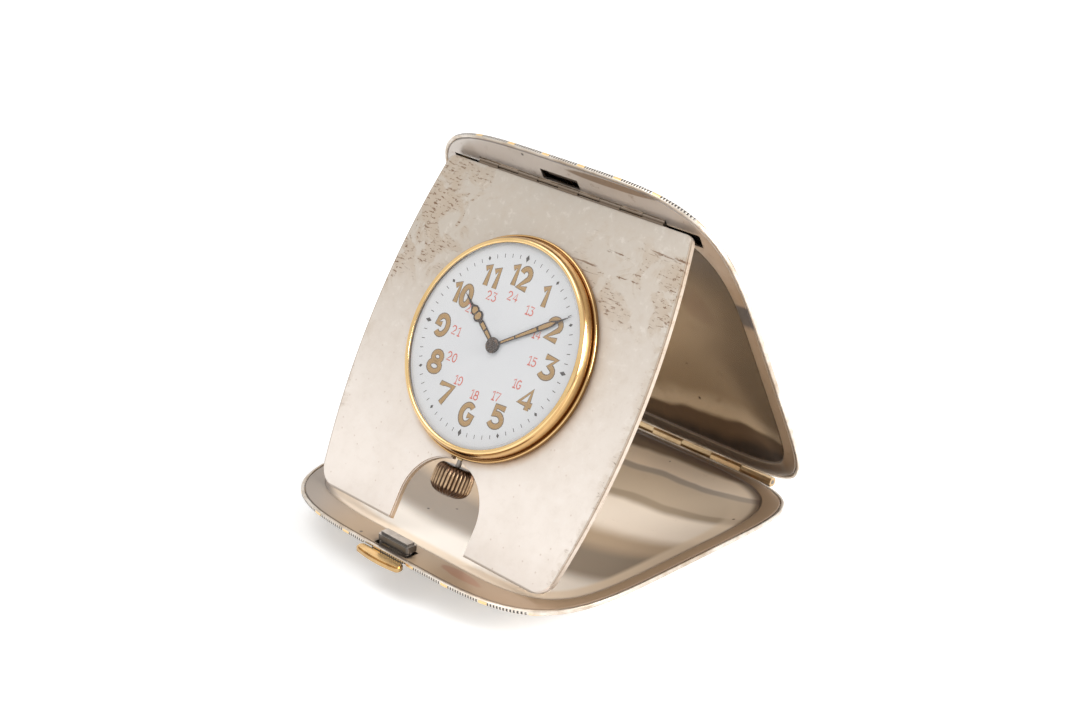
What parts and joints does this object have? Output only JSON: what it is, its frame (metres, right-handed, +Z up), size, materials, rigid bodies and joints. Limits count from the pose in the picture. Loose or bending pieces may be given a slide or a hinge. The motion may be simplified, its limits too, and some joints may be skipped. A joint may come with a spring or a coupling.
{
  "type": "folding travel clock",
  "caption": "Folding travel clock that stands as a triangle of two domed square covers and a hinged dial plate with a wind-up watch.",
  "frame": {"origin": "centre of the small flat under the base that the clock rests on", "axes": "+Z up, -Y towards the dial's viewer, +X to the viewer's right"},
  "size_m": [0.0792, 0.0894, 0.08],
  "materials": {
    "engraved": "engine-turned, gilt and silvered",
    "lining": "polished gilt",
    "hinge": "polished gilt",
    "plate": "satin silvered",
    "gold": "polished gilt",
    "crown": "bronze gilt",
    "steel": "satin",
    "blued": "blued",
    "brass": "satin",
    "enamel": "gloss white",
    "hands": "dark gloss",
    "crystal": "clear"
  },
  "bodies": {
    "base": {"base_shell": "engraved", "base_liner": "lining", "base_knuckles": "hinge", "case_hinge_pin": "steel", "catch_spring_left": "steel", "catch_spring_right": "steel"},
    "catch": {"catch_slide": "steel", "push_bar": "gold"},
    "back_cover": {"back_shell": "engraved", "back_liner": "lining", "back_knuckles": "hinge", "cover_plate_knuckles": "hinge"},
    "dial_body": {"dial_plate": "plate", "plate_knuckles": "hinge", "plate_hinge_pin": "steel", "case_band": "gold", "bezel": "gold", "crystal": "crystal", "case_back": "gold", "dial": "enamel", "stem_tube": "gold", "main_plate": "brass", "movement_ring": "brass", "barrel_bridge": "brass", "train_bridge": "brass", "balance_cock": "brass", "hairspring": "blued", "balance_cock_screw_1": "blued", "balance_cock_screw_2": "blued", "barrel_bridge_screw_1": "blued", "barrel_bridge_screw_2": "blued", "barrel_bridge_screw_3": "blued", "train_bridge_screw_1": "blued", "train_bridge_screw_2": "blued", "train_bridge_screw_3": "blued"},
    "barrel": {"barrel": "brass", "mainspring": "steel"},
    "ratchet": {"ratchet_wheel": "steel"},
    "crown_wheel": {"crown_wheel": "steel"},
    "centre_wheel": {"centre_wheel": "brass"},
    "third_wheel": {"third_wheel": "brass"},
    "fourth_wheel": {"fourth_wheel": "brass"},
    "escape_wheel": {"escape_wheel": "steel"},
    "pallet_fork": {"pallet_fork": "steel"},
    "balance": {"balance_wheel": "gold"},
    "winding_pinion": {"winding_pinion": "steel"},
    "crown": {"crown": "crown", "winding_stem": "steel"},
    "click": {"click": "steel"},
    "minute_works": {"cannon_pinion": "steel", "minute_hand": "hands", "centre_cap": "hands"},
    "minute_wheel": {"minute_wheel": "brass"},
    "hour_works": {"hour_wheel": "brass", "hour_hand": "hands"}
  },
  "joints": [
    {"name": "case_hinge", "type": "hinge", "parent": "base", "child": "back_cover", "pos_m": [0, 0.03334, 0.0055], "axis": [-1, 0, 0], "range_deg": [0, 105]},
    {"name": "plate_hinge", "type": "hinge", "parent": "back_cover", "child": "dial_body", "pos_m": [0, -0.0051, 0.07257], "axis": [1, 0, 0], "range_deg": [0, 56.4]},
    {"name": "catch_push", "type": "slide", "parent": "base", "child": "catch", "axis": [0, 0.9994, -0.0349], "range_m": [0, 0.0009], "stiffness_N_per_m": 300, "springref_m": -0.001},
    {"name": "crown_turn", "type": "hinge", "parent": "dial_body", "child": "winding_pinion", "pos_m": [0, -0.02154, 0.04281], "axis": [0, 0.4937, 0.8696], "continuous": true},
    {"name": "crown_pull", "type": "slide", "parent": "winding_pinion", "child": "crown", "axis": [0, -0.4937, -0.8696], "range_m": [0, 0.001]},
    {"name": "crown_wheel_turn", "type": "hinge", "parent": "dial_body", "child": "crown_wheel", "pos_m": [-0.00146, -0.0285, 0.03308], "axis": [0, -0.8696, 0.4937], "continuous": true},
    {"name": "ratchet_turn", "type": "hinge", "parent": "dial_body", "child": "ratchet", "pos_m": [-0.00832, -0.0255, 0.03836], "axis": [0, -0.8696, 0.4937], "continuous": true},
    {"name": "click_turn", "type": "hinge", "parent": "dial_body", "child": "click", "pos_m": [-0.00962, -0.02185, 0.04478], "axis": [0, -0.8696, 0.4937], "range_deg": [0, 6], "stiffness_Nm_per_rad": 0.0000005, "springref_deg": -11.46},
    {"name": "fourth_turn", "type": "hinge", "parent": "dial_body", "child": "fourth_wheel", "pos_m": [0.00388, -0.01912, 0.0496], "axis": [0, -0.8696, 0.4937], "continuous": true},
    {"name": "third_turn", "type": "hinge", "parent": "dial_body", "child": "third_wheel", "pos_m": [-0.00105, -0.01968, 0.04861], "axis": [0, -0.8696, 0.4937], "continuous": true},
    {"name": "centre_turn", "type": "hinge", "parent": "dial_body", "child": "centre_wheel", "pos_m": [0, -0.02262, 0.04342], "axis": [0, -0.8696, 0.4937], "continuous": true},
    {"name": "barrel_turn", "type": "hinge", "parent": "dial_body", "child": "barrel", "pos_m": [-0.00832, -0.0255, 0.03836], "axis": [0, -0.8696, 0.4937], "continuous": true},
    {"name": "escape_turn", "type": "hinge", "parent": "dial_body", "child": "escape_wheel", "pos_m": [0.00809, -0.02004, 0.04797], "axis": [0, -0.8696, 0.4937], "continuous": true},
    {"name": "fork_rock", "type": "hinge", "parent": "dial_body", "child": "pallet_fork", "pos_m": [0.00993, -0.02168, 0.04508], "axis": [0, -0.8696, 0.4937], "range_deg": [-2, 2]},
    {"name": "balance_swing", "type": "hinge", "parent": "dial_body", "child": "balance", "pos_m": [0.00968, -0.02405, 0.04092], "axis": [0, -0.8696, 0.4937], "range_deg": [-150, 150], "stiffness_Nm_per_rad": 0.0000007},
    {"name": "minute_turn", "type": "hinge", "parent": "dial_body", "child": "minute_works", "pos_m": [0, -0.02262, 0.04342], "axis": [0, -0.8696, 0.4937], "continuous": true},
    {"name": "minute_wheel_turn", "type": "hinge", "parent": "dial_body", "child": "minute_wheel", "pos_m": [0.00338, -0.02461, 0.03992], "axis": [0, -0.8696, 0.4937], "continuous": true},
    {"name": "hour_turn", "type": "hinge", "parent": "dial_body", "child": "hour_works", "pos_m": [0, -0.02262, 0.04342], "axis": [0, -0.8696, 0.4937], "continuous": true}
  ],
  "couplings": [
    {"joint": "plate_hinge", "follows": "case_hinge", "ratio": 0.53713},
    {"joint": "crown_wheel_turn", "follows": "crown_turn", "ratio": -0.66667},
    {"joint": "ratchet_turn", "follows": "crown_turn", "ratio": 0.44444},
    {"joint": "third_turn", "follows": "fourth_turn", "ratio": -0.13333},
    {"joint": "centre_turn", "follows": "fourth_turn", "ratio": 0.016667},
    {"joint": "barrel_turn", "follows": "fourth_turn", "ratio": -0.0027778},
    {"joint": "escape_turn", "follows": "fourth_turn", "ratio": -10},
    {"joint": "minute_wheel_turn", "follows": "minute_turn", "ratio": -0.33333},
    {"joint": "hour_turn", "follows": "minute_turn", "ratio": 0.083333}
  ]
}
